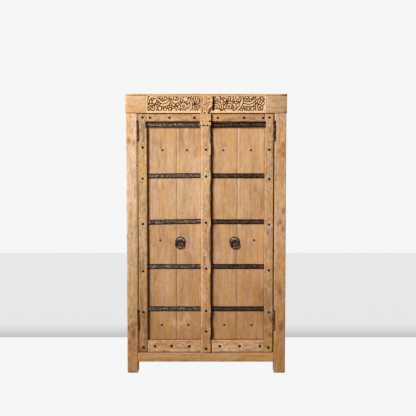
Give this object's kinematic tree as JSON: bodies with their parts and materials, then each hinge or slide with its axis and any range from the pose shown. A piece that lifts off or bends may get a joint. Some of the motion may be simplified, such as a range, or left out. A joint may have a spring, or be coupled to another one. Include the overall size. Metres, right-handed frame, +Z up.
{
  "type": "two-door storage cabinet",
  "caption": "Tall two-door storage cabinet in old timber, with a carved frieze, iron straps, domed nails, ring pulls and barrel hinges.",
  "frame": {"origin": "on the floor, at the middle of the whole outline in plan", "axes": "+X to the right seen from the front, +Y to the back, +Z up"},
  "size_m": [1.046, 0.486, 1.83],
  "materials": {
    "carved_timber": "old dry timber, brushed and waxed",
    "leaf_frame_timber": "old dry timber, brushed and waxed",
    "plank_timber": "old dry timber, brushed and waxed",
    "case_timber": "old dry timber, brushed and waxed",
    "inner_timber": "old dry timber, brushed and waxed",
    "hinge_iron": "forged and blackened",
    "strap_iron": "forged and blackened",
    "nail_iron": "forged and blackened",
    "pull_iron": "forged and blackened"
  },
  "bodies": {
    "case": {"back_boards": "inner_timber", "carved_frieze": "carved_timber", "floor_boards": "inner_timber", "front_bottom_rail": "case_timber", "front_post_left": "case_timber", "front_post_right": "case_timber", "hinge_pins": "hinge_iron", "left_lower_hinge_post_side": "hinge_iron", "left_side_boards": "inner_timber", "left_side_bottom_rail": "inner_timber", "left_side_top_rail": "inner_timber", "left_upper_hinge_post_side": "hinge_iron", "lintel": "case_timber", "lower_door_stop": "inner_timber", "rear_bottom_rail": "inner_timber", "rear_post_left": "case_timber", "rear_post_right": "case_timber", "rear_top_rail": "inner_timber", "right_lower_hinge_post_side": "hinge_iron", "right_side_boards": "inner_timber", "right_side_bottom_rail": "inner_timber", "right_side_top_rail": "inner_timber", "right_upper_hinge_post_side": "hinge_iron", "shelf_cleats": "inner_timber", "shelf_lower": "inner_timber", "shelf_middle": "inner_timber", "shelf_upper": "inner_timber", "top_boards": "inner_timber", "upper_door_stop": "inner_timber"},
    "left_leaf": {"left_bottom_rail": "leaf_frame_timber", "left_frame_nails": "nail_iron", "left_hinge_stile": "leaf_frame_timber", "left_inner_plank": "plank_timber", "left_iron_straps": "strap_iron", "left_ledgers": "inner_timber", "left_lower_hinge_leaf_side": "hinge_iron", "left_outer_plank": "plank_timber", "left_plank_nails": "nail_iron", "left_pull_plate": "pull_iron", "left_ring_staple": "pull_iron", "left_top_rail": "leaf_frame_timber", "left_upper_hinge_leaf_side": "hinge_iron", "centre_batten": "leaf_frame_timber", "carved_capital": "carved_timber"},
    "right_leaf": {"right_bottom_rail": "leaf_frame_timber", "right_frame_nails": "nail_iron", "right_hinge_stile": "leaf_frame_timber", "right_inner_plank": "plank_timber", "right_iron_straps": "strap_iron", "right_ledgers": "inner_timber", "right_lower_hinge_leaf_side": "hinge_iron", "right_outer_plank": "plank_timber", "right_plank_nails": "nail_iron", "right_pull_plate": "pull_iron", "right_ring_staple": "pull_iron", "right_top_rail": "leaf_frame_timber", "right_upper_hinge_leaf_side": "hinge_iron"},
    "left_ring": {"left_pull_ring": "pull_iron"},
    "right_ring": {"right_pull_ring": "pull_iron"}
  },
  "joints": [
    {"name": "left_leaf_swing", "type": "hinge", "parent": "case", "child": "left_leaf", "pos_m": [-0.446, -0.2215, 0.92], "axis": [0, 0, -1], "range_deg": [0, 165]},
    {"name": "right_leaf_swing", "type": "hinge", "parent": "case", "child": "right_leaf", "pos_m": [0.442, -0.2215, 0.92], "axis": [0, 0, 1], "range_deg": [0, 165]},
    {"name": "left_ring_swing", "type": "hinge", "parent": "left_leaf", "child": "left_ring", "pos_m": [-0.16691, -0.207, 0.87553], "axis": [-0.9397, 0, 0.342], "range_deg": [0, 150]},
    {"name": "right_ring_swing", "type": "hinge", "parent": "right_leaf", "child": "right_ring", "pos_m": [0.18586, -0.207, 0.87599], "axis": [-1, 0, 0], "range_deg": [0, 150]}
  ]
}
